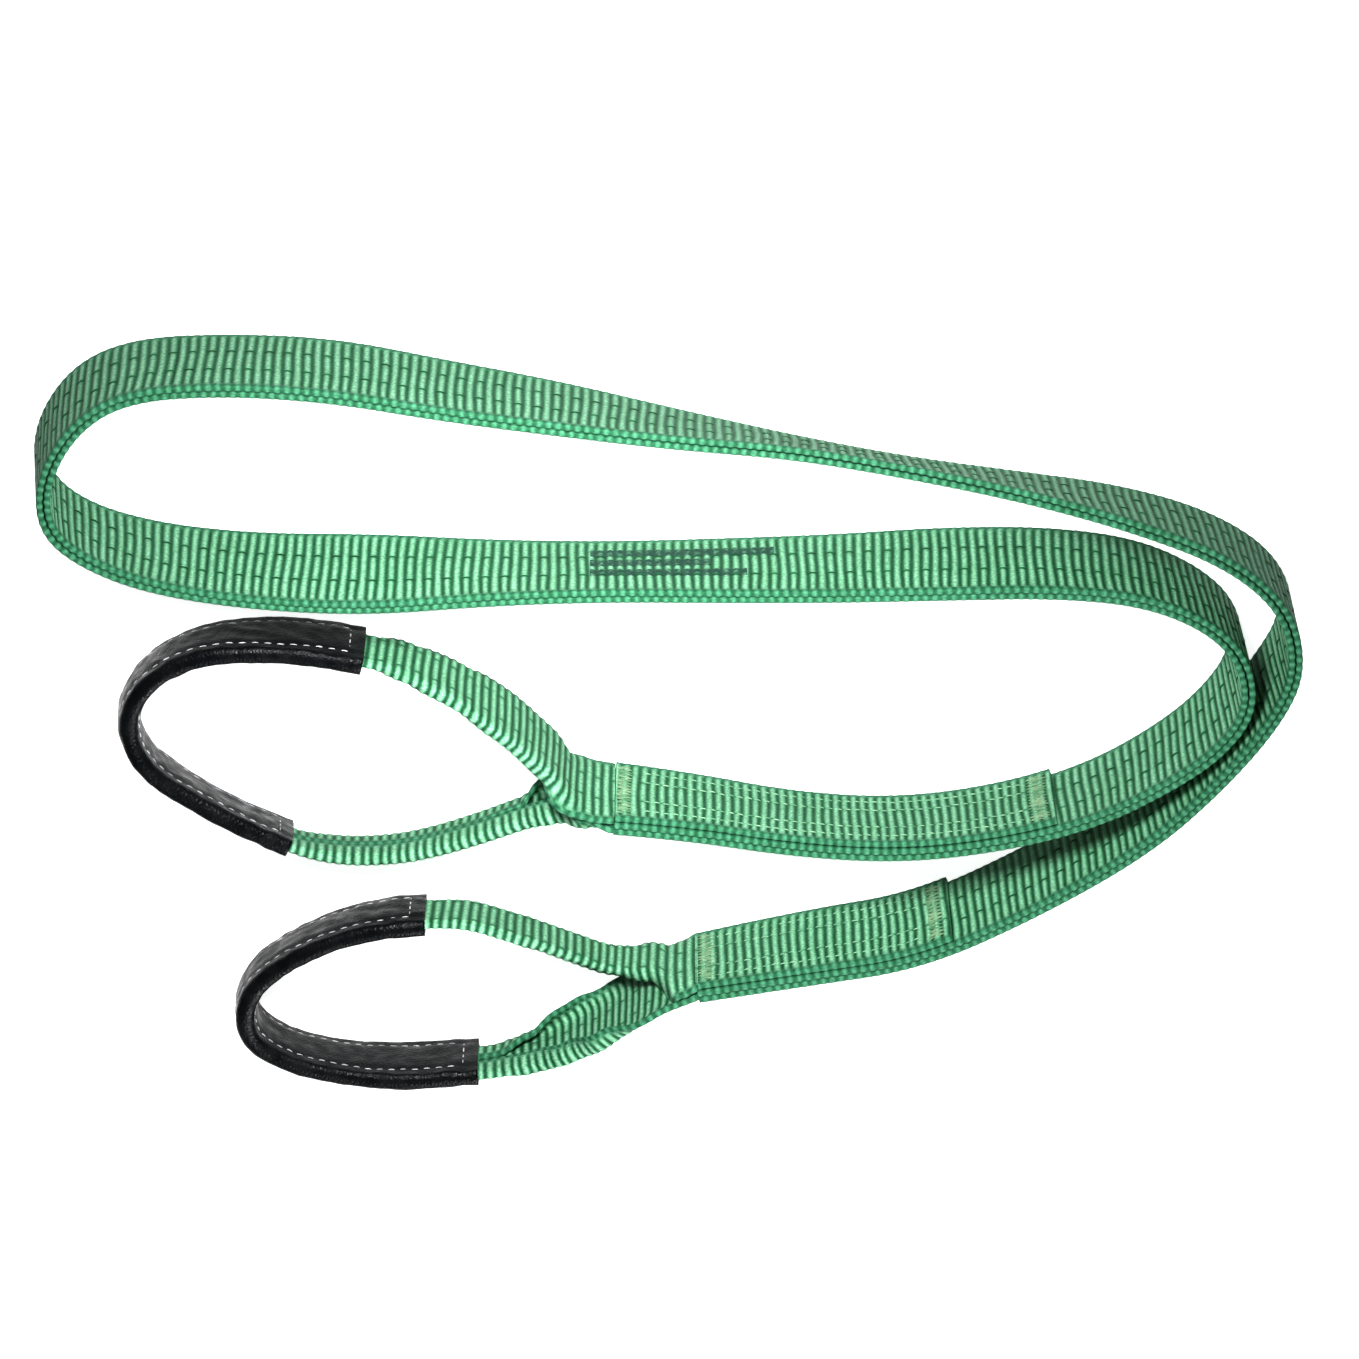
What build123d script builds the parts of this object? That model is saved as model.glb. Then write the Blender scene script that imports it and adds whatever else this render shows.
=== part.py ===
"""A two-ply flat web sling with two sewn eyes, standing on its edge in a loose fold.

Millimetres, +Z up. The origin is on the floor, under the middle of the sling's box.
Every stretch of webbing is a ribbon: a route on the floor, the way its top edge leans,
and a thickness to either side of the route. Routes run from eye 2 round to eye 1.
"""
from build123d import *
import math
import os

# ---- driving dimensions -------------------------------------------------------------
WIDTH = 50.0                # webbing width, which stands upright
PLY = 2.7                   # thickness of one ply of webbing
PLY_GAP = 0.1               # clearance from the middle plane to each ply
HALF = PLY_GAP + PLY        # half thickness of the two-ply body
FOLDED_HEIGHT = 28.0        # webbing folded lengthwise in the eyes
FOLDED_HALF = 2.75          # half thickness of the folded webbing
SLEEVE_HEIGHT = 30.0
SLEEVE_HALF = 4.4           # half thickness of a sleeve, outside
SLEEVE_WALL = 1.4
FIT_CLEARANCE = 0.1         # between a sleeve's lining and the webbing in it
THREAD = 0.35               # how far a row of thread stands proud
THREAD_WIDTH = 0.9
THREAD_LIFT = 0.02          # a thread's clearance from the cloth under it
SEAM_HEIGHTS = (16.5, 33.5)             # the two long seams, at thirds of the width
SLEEVE_ROWS = (5.5, 24.5)               # the two rows of stitching on a sleeve
DASH, DASH_PITCH = 3.4, 5.0             # the sleeve's stitches
STITCH_LIFT = 0.3           # so that a straight stitch clears a curved face
BAR_HEIGHT = 40.0           # the upright rows of stitching across the webbing
BAR_SPREAD, TACK_SPREAD = 8.0, 14.0  # how far the rows at a throat and a tail's end spread
LAP_ROWS = (8.0, 16.5, 33.5, 42.0)      # heights of the rows along a lapped end
LAP_CLEARANCE = 0.1
TAIL_INSET = 0.6            # a tail's edges lie this far inside the body's
END_GAP = 0.15              # between the webbing in a sleeve and each leg
HINGE_GAP = 1.6             # webbing left out on each side of a hinge line
SEAM_END_GAP = 3.0          # the long seams stop this far short of the webbing at a hinge
REACH = 400.0               # further than any point of the sling from the origin
STEP = 5.0                  # how far apart in z the lines are that give a face's lean
ARC_SHARE = 0.45            # share of the shorter run that each arc takes up

# ---- routes: x, y on the floor, and how far the top edge, 50 mm up, leans in x and y ----
BODY = [
    (14, -127, 0, 6), (58, -117, 0, 3.5), (104, -107, 0, 3), (150, -82, 1, 3),
    (192, -52, 2, 3), (220, -18, 3, 1), (240, 11, 3, 2), (250, 34, 0, 2),
    (241, 58, 2, 5), (216, 76, 3, 9), (180, 88, 1, 13), (140, 94, 0, 20),
    (96, 100.5, 0, 24), (50, 110.5, 0, 23), (4, 122.5, 0, 15), (-42, 135, 0, 8.5),
    (-86, 144.5, 0, 5.5), (-128, 154, 0, 4), (-170, 156, 0, 5), (-206, 154, 0, 4),
    (-229, 143, 2, 1), (-244, 120, 4, 0), (-246, 97, 6, 1), (-230, 80.5, 5, 3),
    (-200, 70.5, 1, 1.5), (-160, 66, 0, 0.5), (-116, 66, 0, 0), (-70, 63, 0, 5),
    (-24, 62, 0, 7), (22, 63.5, 0, 5), (68, 65.5, 0, 3), (112, 69, 0, 0.5),
    (152, 69, 0, 1.5), (186, 64, 1, 3), (211, 51.5, 2, 4), (226, 36, 2, 3),
    (230, 15, 2, 1), (219, -5, 1, 1), (201, -23, -1, 3), (173, -42, 0, 6),
    (138, -55, 0, 8), (96, -62, 0, 9), (52, -59, 0, 9), (8, -49, 0, 7), (-20, -44.5, 0, 5),
]
UPPER_LEG_1 = [(-20, -42.6, 0, 5), (-34, -42, 0, 3), (-46, -26, 0, 2), (-66, -5, 0, 4)]
LOWER_LEG_1 = [(-20, -46.6, 0, 5), (-34, -50, 0, 4), (-52, -56, 0, 3), (-84, -68, 0, 6)]
BIGHT_1 = [
    (-88, 8.5, 0, 7), (-107, 18.5, 0, 4), (-133, 25.5, 0, 2), (-160, 27.5, 0, 3),
    (-185, 23.5, 0, 8), (-206, 11, -2, 8), (-217, -8, 2, 5), (-213, -30, 9, 5),
    (-190, -50.5, 7, 13), (-166, -65, 4, 15), (-140, -76, 1, 12), (-110, -76, 0, 9),
]
UPPER_LEG_2 = [
    (11, -126.2, 0, 6), (-4, -131, 0, 5), (-19, -134.5, 0, 4), (-38, -127, 0, 5),
    (-62, -119.5, 0, 8),
]
LOWER_LEG_2 = [(11, -130.4, 0, 6), (-3, -136.2, 0, 5), (-16, -145, 0, 3)]
BIGHT_2 = [
    (-84, -106.5, 0, 9), (-111, -107, 0, 9), (-134, -114.5, 0, 11), (-154, -125, 0, 12),
    (-171, -140, -1, 9), (-174, -158, 2, 3), (-159, -173, 2, 7), (-133, -180, 0, 6),
    (-111, -181, 0, 4), (-91, -179.5, 0, 4), (-63, -177.5, 0, 6), (-37, -161.5, 0, 2),
]
ORIGIN = (2, -11)           # the routes' own numbers for the middle of the sling's box
# Where the body's route is parted: after these of its points, at the middle of the run.
STRANDS = {
    "eye_2_strand": (0, 6), "upper_strand": (6, 18), "left_bend": (18, 24),
    "mid_strand": (24, 33), "inner_bend": (33, 38), "eye_1_strand": (38, 44),
}
SLEEVE_ENDS = (1.5, 9.5), (0.5, 9.5)    # along each bight, counted in its runs
# The lapped ends of the webbing: on which strand and face, and from where to where in X.
LAPS = {
    "1": {"strand": "eye_1_strand", "hand": -1, "throat_x": -20.0, "end_x": 158.0},
    "2": {"strand": "eye_2_strand", "hand": 1, "throat_x": 14.0, "end_x": 118.0},
}


def placed(route):
    """The route in the part's own frame."""
    return [(x - ORIGIN[0], y - ORIGIN[1], dx, dy) for x, y, dx, dy in route]


def between(route, place):
    """The point at a place along a route, counted in runs: 2.5 is halfway along the third."""
    i = min(int(place), len(route) - 2)
    t = place - i
    return tuple(a + (b - a) * t for a, b in zip(route[i], route[i + 1]))


def stretch(route, start, end):
    """The part of a route between two places."""
    inner = [p for i, p in enumerate(route) if start + 0.01 < i < end - 0.01]
    return [between(route, start), *inner, between(route, end)]


def trimmed(route, at_start=0.0, at_end=0.0):
    """The route with some millimetres cut from its first and its last run."""
    first = math.dist(route[0][:2], route[1][:2])
    last = math.dist(route[-1][:2], route[-2][:2])
    return [
        between(route, at_start / first), *route[1:-1],
        between(route, len(route) - 1 - at_end / last),
    ]


def at_height(route, share):
    """The route in plan at a share of the webbing's width above the floor."""
    return [(x + share * dx, y + share * dy) for x, y, dx, dy in route]


def side(points, offsets):
    """The points moved to the left of their own direction, each by its offset."""
    moved = []
    for i, (x, y) in enumerate(points):
        before = Vector(x, y) - Vector(*points[i - 1]) if i else None
        after = Vector(*points[i + 1]) - Vector(x, y) if i + 1 < len(points) else None
        before, after = (before or after).normalized(), (after or before).normalized()
        mean = (before + after).normalized()
        reach = offsets[i] / mean.dot(after)
        moved.append((x - mean.Y * reach, y + mean.X * reach))
    return moved


def radii(points):
    """An arc for each corner, as large as its two runs allow."""
    found = []
    for a, b, c in zip(points, points[1:], points[2:]):
        into, out = Vector(*b) - Vector(*a), Vector(*c) - Vector(*b)
        turn = math.radians(into.get_angle(out))
        found.append(ARC_SHARE * min(into.length, out.length) / math.tan(turn / 2))
    return found


def outline(points, low, high):
    """A closed face between two lines beside the points, offset to their left."""
    left, right = side(points, high), side(points, low)
    wires = [FilletPolyline(*line, radius=radii(line)) for line in (left, right)]
    ends = [Line(left[0], right[0]), Line(left[-1], right[-1])]
    return make_face(Wire(wires[0].edges() + wires[1].edges() + ends))


def ribbon(route, low, high, bottom=0.0, top=WIDTH):
    """Webbing along a route, from low to high to its left, and from bottom to top in z."""
    low = [low] * len(route) if isinstance(low, (int, float)) else low
    high = [high] * len(route) if isinstance(high, (int, float)) else high
    faces = [
        Pos(0, 0, share * WIDTH) * outline(at_height(route, share), low, high)
        for share in (bottom / WIDTH, top / WIDTH)
    ]
    return loft(faces, ruled=True)


def under_slope(solid, x_low, z_low, x_high, z_high):
    """The solid below a slope that rises from z_low at x_low to z_high at x_high."""
    profile = Polyline(
        (-REACH, -1), (-REACH, z_low), (x_low, z_low), (x_high, z_high),
        (REACH, z_high), (REACH, -1), close=True,
    )
    cutter = extrude(Plane.XZ * make_face(profile), amount=REACH, both=True)
    return solid & cutter


def between_x(solid, low, high):
    """The part of a solid between two X values."""
    slab = Pos((low + high) / 2, 0, WIDTH / 2) * Box(high - low, 4 * REACH, 2 * WIDTH)
    return solid & slab


def face_line(route, offset, z):
    """The line on a ribbon's face at one height, in its plan."""
    points = at_height(route, z / WIDTH)
    line = side(points, [offset] * len(points))
    return FilletPolyline(*line, radius=radii(line))


def on_face(lines, t, offset):
    """A plane on a face at a share t of its length: x along it, y up it and z out of it.

    lines are the face's lines a little below, at and a little above the plane's height.
    """
    below, line, above = lines
    along = (line % t).normalized()
    up = (above @ t) - (below @ t) + Vector(0, 0, 2 * STEP)
    out = along.cross(up.normalized()) * (-1 if offset > 0 else 1)
    return along, out


def placed_stitch(lines, offset, z, t, size):
    """A stitch on the face whose lines are given."""
    along, out = on_face(lines, t, offset)
    plane = Plane(origin=(lines[1] @ t) + Vector(0, 0, z), x_dir=along, z_dir=out)
    return plane * Pos(0, 0, THREAD / 2 + STITCH_LIFT) * Box(size[0], size[1], THREAD)


def share_at_x(line, x):
    """The share of a line's length at which it passes an X value."""
    low, high = 0.0, 1.0
    rising = (line @ 1).X > (line @ 0).X
    for _ in range(24):
        middle = (low + high) / 2
        if ((line @ middle).X < x) == rising:
            low = middle
        else:
            high = middle
    return low


def thread_rows(route, offset, heights):
    """Rows of stitching along a face, each a thin strip of thread."""
    near = offset + math.copysign(THREAD_LIFT, offset)
    far = near + math.copysign(THREAD, offset)
    half = THREAD_WIDTH / 2
    return [ribbon(route, min(near, far), max(near, far), z - half, z + half) for z in heights]


def thread_bars(route, offset, low, high, count):
    """Upright rows of thread across a face, between two X values."""
    z = WIDTH / 2
    lines = [face_line(route, offset, z + dz) for dz in (-STEP, 0, STEP)]
    places = [low + (i + 0.5) * (high - low) / count for i in range(count)]
    size = (THREAD_WIDTH, BAR_HEIGHT)
    return [placed_stitch(lines, offset, z, share_at_x(lines[1], x), size) for x in places]


def dashes(route, offset, z):
    """Separate stitches all along a face, at one height."""
    lines = [face_line(route, offset, z + dz) for dz in (-STEP, 0, STEP)]
    count = int(lines[1].length // DASH_PITCH)
    size = (DASH, THREAD_WIDTH)
    shares = [(k + 0.5) / count for k in range(count)]
    return [placed_stitch(lines, offset, z, t, size) for t in shares]


nodes = {}

# ---- the body of the sling ------------------------------------------------------------
body = placed(BODY)
strands = {}
for name, (first, last) in STRANDS.items():
    start = first + 0.5 if first else 0.0
    end = last + 0.5 if last < len(body) - 1 else len(body) - 1.0
    strands[name] = stretch(body, start, end)
strands["eye_2_strand"] = trimmed(strands["eye_2_strand"], HINGE_GAP, HINGE_GAP)
strands["upper_strand"] = trimmed(strands["upper_strand"], HINGE_GAP)
strands["eye_1_strand"] = trimmed(strands["eye_1_strand"], 0.0, HINGE_GAP)
for name, route in strands.items():
    nodes[f"{name}_inner_ply"] = ribbon(route, PLY_GAP, HALF)
    nodes[f"{name}_outer_ply"] = ribbon(route, -HALF, -PLY_GAP)

# The long seams show on both faces, except where a lapped end covers them.
free_route = trimmed(strands["eye_2_strand"], 0.0, SEAM_END_GAP)
free_seams = thread_rows(free_route, -HALF, SEAM_HEIGHTS)
throat_x = LAPS["2"]["throat_x"] + BAR_SPREAD
free_seams = [between_x(row, throat_x, REACH) for row in free_seams]
main_seams = thread_rows(strands["eye_1_strand"], HALF, SEAM_HEIGHTS)
throat_x = LAPS["1"]["throat_x"] + BAR_SPREAD
main_seams = [between_x(row, throat_x, REACH) for row in main_seams]
for name in ("upper_strand", "left_bend", "mid_strand", "inner_bend"):
    for offset in (-HALF, HALF):
        main_seams += thread_rows(strands[name], offset, SEAM_HEIGHTS)
nodes["long_seams_main"] = Compound(children=main_seams)
nodes["long_seams_free_strand"] = Compound(children=free_seams)

# ---- the lapped ends, with their stitching ---------------------------------------------
for eye, lap in LAPS.items():
    route, hand = strands[lap["strand"]], lap["hand"]
    near, far = HALF + LAP_CLEARANCE, HALF + LAP_CLEARANCE + PLY
    low, high = min(hand * near, hand * far), max(hand * near, hand * far)
    tail = ribbon(route, low, high, TAIL_INSET, WIDTH - TAIL_INSET)
    start, end = lap["throat_x"], lap["end_x"]
    nodes[f"lap_tail_{eye}"] = between_x(tail, start, end)
    face, back = hand * far, -hand * HALF
    nodes[f"throat_stitching_{eye}"] = Compound(
        children=thread_bars(route, face, start, start + BAR_SPREAD, 4)
        + thread_bars(route, back, start, start + BAR_SPREAD, 4)
    )
    nodes[f"end_tack_{eye}"] = Compound(
        children=thread_bars(route, face, end - TACK_SPREAD, end, 5)
    )
    rows = thread_rows(route, face, LAP_ROWS)
    row_start, row_end = start + BAR_SPREAD + 1, end - TACK_SPREAD - 1
    nodes[f"lap_stitching_{eye}"] = Compound(
        children=[between_x(row, row_start, row_end) for row in rows]
    )

# ---- the eyes: folded webbing, a wear sleeve on each bight, and its stitching ------------
EYES = {
    "1": (placed(UPPER_LEG_1), placed(BIGHT_1), placed(LOWER_LEG_1), SLEEVE_ENDS[0]),
    "2": (placed(UPPER_LEG_2), placed(BIGHT_2), placed(LOWER_LEG_2), SLEEVE_ENDS[1]),
}
for eye, (upper, bight, lower, (sleeve_from, sleeve_to)) in EYES.items():
    far_part = stretch(bight, sleeve_to, len(bight) - 1.0)
    legs = {
        "upper": (upper, stretch(bight, 0.0, sleeve_from)),
        "lower": (lower, list(reversed(far_part))),
    }
    for which, (leg, rest) in legs.items():
        route = trimmed(leg + rest, HINGE_GAP)
        thin, thick = PLY / 2, FOLDED_HALF
        halves = [thin, thin, (thin + thick) / 2] + [thick] * (len(route) - 3)
        solid = ribbon(route, [-h for h in halves], halves)
        opened, folded = leg[1][0], leg[-1][0] - 6
        nodes[f"eye_{eye}_{which}_leg"] = under_slope(
            solid, folded, FOLDED_HEIGHT, opened, WIDTH + 1
        )
    covered = stretch(bight, sleeve_from, sleeve_to)
    lining = SLEEVE_WALL + FIT_CLEARANCE
    nodes[f"eye_{eye}_bight"] = ribbon(
        trimmed(covered, END_GAP, END_GAP), -FOLDED_HALF, FOLDED_HALF, lining,
        SLEEVE_HEIGHT - lining,
    )
    hollow = FOLDED_HALF + FIT_CLEARANCE
    outside = ribbon(covered, -SLEEVE_HALF, SLEEVE_HALF, 0, SLEEVE_HEIGHT)
    inside = ribbon(covered, -hollow, hollow, SLEEVE_WALL, SLEEVE_HEIGHT - SLEEVE_WALL)
    nodes[f"wear_sleeve_{eye}"] = outside - inside
    stitches = []
    for offset in (-SLEEVE_HALF, SLEEVE_HALF):
        for z in SLEEVE_ROWS:
            stitches += dashes(covered, offset, z)
    nodes[f"sleeve_stitching_{eye}"] = Compound(children=stitches)

if __name__ == "__main__":
    os.makedirs("parts", exist_ok=True)
    for name, solid in nodes.items():
        export_step(solid, f"parts/{name}.step")
    for name, route in {**strands, "bight_1": BIGHT_1, "bight_2": BIGHT_2}.items():
        print(name, "radii", [round(r) for r in radii([p[:2] for p in route])])
    for name, route in strands.items():
        line = face_line(route, 0.0, 0.0)
        plain = line.length * WIDTH * PLY
        share = nodes[f"{name}_inner_ply"].volume / plain
        print(f"{name}: {line.length:.0f} mm long, volume {share:.3f} of length times section")
    box = Compound(children=list(nodes.values())).bounding_box()
    print(len(nodes), "nodes, box", box.min, box.max)
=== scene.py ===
"""The looks of a two-ply flat web sling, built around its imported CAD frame.

Metres, +Z up, in the frame's own axes. The routes are in millimetres, in numbers of their own that
in_frame turns into the frame's metres. They keep within about 5 mm of the CAD source's routes.
"""

import math

import bpy
import numpy as np
from mathutils import Matrix, Vector, noise


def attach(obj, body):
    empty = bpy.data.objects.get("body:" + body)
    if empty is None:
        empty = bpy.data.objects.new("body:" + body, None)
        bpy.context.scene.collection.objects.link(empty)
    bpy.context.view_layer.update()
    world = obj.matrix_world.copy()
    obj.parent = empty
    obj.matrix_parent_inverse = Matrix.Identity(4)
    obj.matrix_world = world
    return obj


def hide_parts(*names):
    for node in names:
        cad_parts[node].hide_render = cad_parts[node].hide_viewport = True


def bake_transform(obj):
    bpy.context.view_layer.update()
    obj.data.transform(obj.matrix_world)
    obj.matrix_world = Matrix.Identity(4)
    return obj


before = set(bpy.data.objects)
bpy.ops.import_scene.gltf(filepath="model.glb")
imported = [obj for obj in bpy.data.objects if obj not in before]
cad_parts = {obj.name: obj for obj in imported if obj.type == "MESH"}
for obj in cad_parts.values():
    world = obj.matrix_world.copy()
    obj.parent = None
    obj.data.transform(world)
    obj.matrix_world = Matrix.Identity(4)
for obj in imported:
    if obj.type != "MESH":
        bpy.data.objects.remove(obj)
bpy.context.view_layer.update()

MM = 0.001
WIDTH = 50 * MM             # webbing width, which stands upright
PLY = 2.7 * MM
PLY_GAP = 0.03 * MM
PLY_MIDDLE = PLY_GAP + PLY / 2          # from the middle plane to the middle of each ply
BODY_HALF = 2.8 * MM        # from the middle plane to the body's two faces, with a little room
RIB = 3.75 * MM             # pitch of the ribs that run across the webbing
RIB_DEPTH = 0.62 * MM
EYE_RIB_DEPTH = 0.48 * MM   # the eyes' webbing is stretched round its folds
ROWS_PER_RIB = 7            # rows of vertices along the webbing for each rib
PINCH = 0.3 * MM            # how deep a seam's stitch pulls a rib in
STITCH_SHADE = 0.75         # how much of a rib's paleness goes where a seam's stitch pulls it in
SEAM_HEIGHTS = (16.5 * MM, 33.5 * MM)
LAP_ROWS = (8.0 * MM, 16.5 * MM, 33.5 * MM, 42.0 * MM)
LAP_DASH = 2.9 * MM
# Each thread's radius, and how far its stitches arch over the cloth.
SEAM_STITCH = (0.26 * MM, 0.42 * MM)
LAP_STITCH = (0.28 * MM, 0.28 * MM)
TACK_STITCH = (0.32 * MM, 0.3 * MM)
SLEEVE_STITCH = (0.28 * MM, 0.38 * MM)
SEAM_DIVE = 0.30 * MM       # how far below a face the ends of a seam's stitches are
LAP_DIVE = 0.12 * MM
SLEEVE_DIVE = 0.05 * MM
SLEEVE_HEIGHT = 30 * MM
SLEEVE_HALF = 4.4 * MM      # half thickness of a sleeve, outside
HEM_HALF = 3.6 * MM         # and at its hems
SLEEVE_WALL = 1.2 * MM
SLEEVE_ROWS = (5.5 * MM, 24.5 * MM)
SLEEVE_END = 6 * MM         # from each end of a sleeve to the short row of stitches across
SLEEVE_COLUMNS = 33         # columns of vertices up each side of a sleeve
DASH, DASH_PITCH = 3.4 * MM, 5.0 * MM   # the sleeve's stitches

# ---- routes: x, y on the floor, and how far the top edge, 50 mm up, leans in x and y ----
BODY = [
    (14, -128.5, 0, 7.5), (58, -116.5, 0, 3.5), (104, -107.8, 0, 3), (150, -82, 1, 3),
    (192, -52, 2, 3), (220, -18, 3, 1), (240, 11, 3, 2), (250, 34, 0, 2),
    (241, 58, 2, 5), (216, 76, 3, 9), (180, 88, 1, 13), (140, 94, 0, 20),
    (96, 100.5, 0, 24), (50, 110.5, 0, 23), (4, 122.5, 0, 15), (-42, 135, 0, 8.5),
    (-86, 144.5, 0, 5.5), (-128, 154, 0, 4), (-170, 156, 0, 5), (-206, 154, 0, 4),
    (-229, 143, 2, 1), (-244, 120, 4, 0), (-246, 97, 6, 1), (-230, 80.5, 5, 3),
    (-200, 70.5, 1, 1.5), (-160, 66, 0, -1), (-116, 66, 0, -3.5), (-70, 63, 0, 4),
    (-24, 62, 0, 7), (22, 63.5, 0, 5), (68, 65.5, 0, 3), (112, 69, 0, 0.5),
    (152, 69, 0, 1.5), (186, 64, 1, 3), (211, 51.5, 2, 4), (226, 36, 2, 3),
    (230, 15, 2, 1), (219, -5, 1, 1), (201, -23, -1, 3), (173, -42, 0, 6),
    (138, -55, 0, 8), (96, -62, 0, 9), (52, -59, 0, 9), (8, -49, 0, 7), (-20, -44.5, 0, 5),
]
UPPER_LEG_1 = [(-20, -41.0, 0, 5), (-34, -37.4, 0, 3), (-46, -23, 0, 2), (-66, -2.8, 0, 0.5)]
LOWER_LEG_1 = [(-20, -46.2, 0, 6), (-34, -47.5, 0, 6), (-52, -54, 0, 4), (-84, -67.5, 0, 6)]
BIGHT_1 = [
    (-88, 10, 0, 3.5), (-107, 18.5, 0, 3), (-133, 25.5, 0, 2), (-160, 27.5, 0, 3),
    (-185, 23.5, 0, 8), (-206, 11, -2, 8), (-217, -8, 2, 5), (-213, -30, 9, 5),
    (-190, -50.5, 7, 13), (-166, -65, 4, 15), (-140, -76, 1, 12), (-110, -75.5, 0, 9),
]
UPPER_LEG_2 = [
    (14, -124.2, 0, 7.5), (-4, -127, 0, 6), (-19, -132.4, 0, 5), (-38, -124.2, 0, 6),
    (-62, -114.2, 0, 9),
]
LOWER_LEG_2 = [(14, -129.0, 0, 8), (-2, -134.5, 0, 5), (-16, -147, 0, 2)]
BIGHT_2 = [
    (-84, -106.5, 0, 9), (-111, -107, 0, 9), (-134, -114.5, 0, 11), (-154, -125, 0, 12),
    (-171, -140, -1, 9), (-174, -158, 2, 3), (-159, -173, 2, 7), (-133, -180, 0, 6),
    (-111, -181, 0, 4), (-91, -179.5, 0, 4), (-63, -178.5, 0, 6), (-37, -165, 0, 2),
]
ORIGIN = (2, -11)           # the routes' own numbers for the middle of the sling's box
# Where the body's route is parted, counted in its runs.
OUTER_BEND = (5.0, 8.5)
STRANDS = {
    "eye_2_strand": (0.0, OUTER_BEND[0]), "upper_strand": (OUTER_BEND[1], 18.5),
    "left_bend": (18.5, 24.5), "mid_strand": (24.5, 33.5), "inner_bend": (33.5, 38.5),
    "eye_1_strand": (38.5, 44.0),
}
SLEEVE_ENDS = {"1": (1.5, 9.5), "2": (0.5, 9.5)}    # along each bight, counted in its runs


def in_frame(x, y):
    """A place in the routes' own numbers, in the frame's metres."""
    return (x - ORIGIN[0]) * MM, (y - ORIGIN[1]) * MM


# ---- lines and surfaces ------------------------------------------------------------------
def smooth_line(points):
    """Points along the smooth curve that has the given points as its control points."""
    curve = bpy.data.curves.new("line", "CURVE")
    curve.dimensions = "3D"
    spline = curve.splines.new("NURBS")
    spline.points.add(len(points) - 1)
    for point, place in zip(spline.points, points):
        point.co = (*place, 1.0)
    spline.order_u = 3
    spline.use_endpoint_u = True
    spline.resolution_u = 64
    holder = bpy.data.objects.new("line", curve)
    mesh = bpy.data.meshes.new_from_object(holder)
    line = np.array([v.co for v in mesh.vertices])
    bpy.data.objects.remove(holder)
    bpy.data.curves.remove(curve)
    bpy.data.meshes.remove(mesh)
    return line


class Route:
    """Webbing on its edge: its floor line, its top line, and the length along them."""

    def __init__(self, route):
        places = [(*in_frame(x, y), dx * MM, dy * MM) for x, y, dx, dy in route]
        self.floor = smooth_line([(x, y, 0.0) for x, y, dx, dy in places])
        self.top = smooth_line([(x + dx, y + dy, WIDTH) for x, y, dx, dy in places])
        steps = np.linalg.norm(np.diff((self.floor + self.top) / 2, axis=0), axis=1)
        self.along = np.concatenate([[0.0], np.cumsum(steps)])
        self.length = self.along[-1]
        self.spans = len(route) - 2

    def length_at(self, place):
        """The length along at a place counted in the route's runs."""
        share = min(max(place - 0.5, 0.0), self.spans) / self.spans
        return float(np.interp(share * (len(self.along) - 1), range(len(self.along)), self.along))

    def length_at_x(self, x, start, end):
        """The length along at which the route passes an X value, between two lengths."""
        inside = (self.along >= start) & (self.along <= end)
        nearest = np.argmin(np.abs(self.floor[inside, 0] - x))
        return float(self.along[inside][nearest])

    def lines(self, lengths):
        """The floor point, the way up to the top edge and the left normal at each length."""
        floor = np.stack([np.interp(lengths, self.along, c) for c in self.floor.T], axis=-1)
        top = np.stack([np.interp(lengths, self.along, c) for c in self.top.T], axis=-1)
        reach = 2 * MM
        middle = (self.floor + self.top) / 2
        ahead = np.stack([np.interp(lengths + reach, self.along, c) for c in middle.T], axis=-1)
        behind = np.stack([np.interp(lengths - reach, self.along, c) for c in middle.T], axis=-1)
        up = (top - floor) / WIDTH
        normal = np.cross(up, ahead - behind)
        return floor, up, normal / np.linalg.norm(normal, axis=-1, keepdims=True)

    def points(self, lengths, heights, offsets):
        """Points beside the route, in an array as wide as the three given."""
        floor, up, normal = self.lines(lengths)
        return floor + up * heights[..., None] + normal * offsets[..., None]


def smoothstep(x):
    """0 to 1, eased at both ends."""
    x = np.clip(x, 0.0, 1.0)
    return x * x * (3 - 2 * x)


def smoothstep_between(x, places, values):
    """Values eased from one place to the next."""
    i = np.clip(np.searchsorted(places, x) - 1, 0, len(places) - 2)
    t = smoothstep((x - places[i]) / (places[i + 1] - places[i]))
    return values[i] + (values[i + 1] - values[i]) * t


def mesh_object(name, points, faces, fields=None):
    """A mesh object of quads, with outward normals and a value per vertex for each field."""
    a, b, c, d = (points[faces[:, i]] for i in range(4))
    volume = np.einsum("ij,ij->i", a, np.cross(b, c) + np.cross(c, d)).sum()
    if volume < 0:
        faces = faces[:, ::-1]
    mesh = bpy.data.meshes.new(name)
    mesh.vertices.add(len(points))
    mesh.vertices.foreach_set("co", np.ascontiguousarray(points, np.float32).ravel())
    mesh.loops.add(faces.size)
    mesh.loops.foreach_set("vertex_index", np.ascontiguousarray(faces, np.int32).ravel())
    mesh.polygons.add(len(faces))
    mesh.polygons.foreach_set("loop_start", np.arange(0, faces.size, 4, dtype=np.int32))
    mesh.update(calc_edges=True)
    mesh.polygons.foreach_set("use_smooth", np.ones(len(faces), bool))
    for field, values in (fields or {}).items():
        attribute = mesh.attributes.new(field, "FLOAT", "POINT")
        attribute.data.foreach_set("value", np.ascontiguousarray(values, np.float32).ravel())
    piece = bpy.data.objects.new(name, mesh)
    bpy.context.scene.collection.objects.link(piece)
    return piece


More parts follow.
